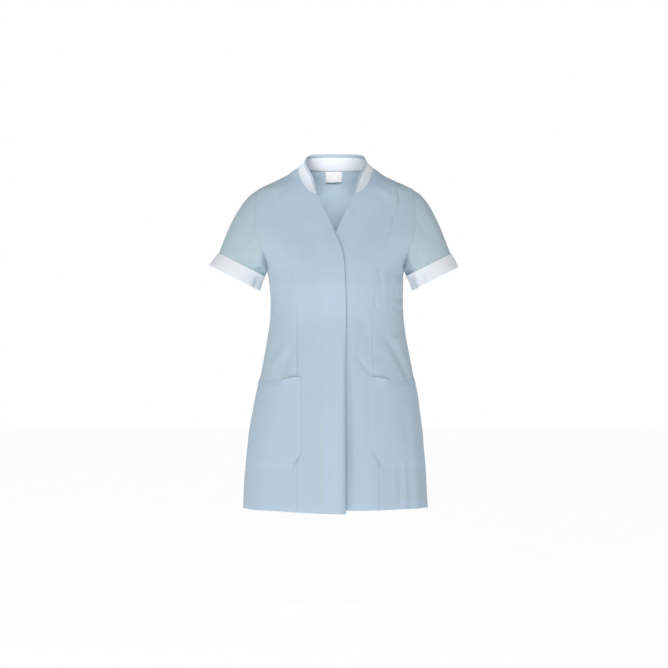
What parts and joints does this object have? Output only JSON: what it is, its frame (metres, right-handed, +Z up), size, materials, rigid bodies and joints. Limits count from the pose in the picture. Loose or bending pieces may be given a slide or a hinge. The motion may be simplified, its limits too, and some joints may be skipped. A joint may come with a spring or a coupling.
{
  "type": "work tunic",
  "caption": "Short-sleeved work tunic with a stand collar, V neck, covered front closing, princess seams, patch pockets and turned-up cuffs, in its worn, hollow form.",
  "frame": {"origin": "on the wearer's centre line, level with the tops of the shoulders, where the wearer carries the tunic", "axes": "+Z up the wearer's body, -Y out of the wearer's chest, +X towards the wearer's left"},
  "size_m": [0.5837, 0.3059, 0.8353],
  "materials": {
    "light_blue_cloth": "matt",
    "white_cloth": "matt",
    "label_satin": "satin",
    "stud_plastic": "matt"
  },
  "bodies": {
    "root": {"front_right": "light_blue_cloth", "front_left": "light_blue_cloth", "side_front_right": "light_blue_cloth", "side_front_left": "light_blue_cloth", "back": "light_blue_cloth", "sleeve_right": "light_blue_cloth", "sleeve_left": "light_blue_cloth", "pocket_right": "light_blue_cloth", "pocket_left": "light_blue_cloth", "collar_binding": "light_blue_cloth", "collar": "white_cloth", "cuff_right": "white_cloth", "cuff_left": "white_cloth", "neck_label": "label_satin", "stud_1": "stud_plastic", "stud_2": "stud_plastic", "stud_3": "stud_plastic", "stud_4": "stud_plastic", "stud_5": "stud_plastic", "stud_6": "stud_plastic"}
  },
  "joints": []
}
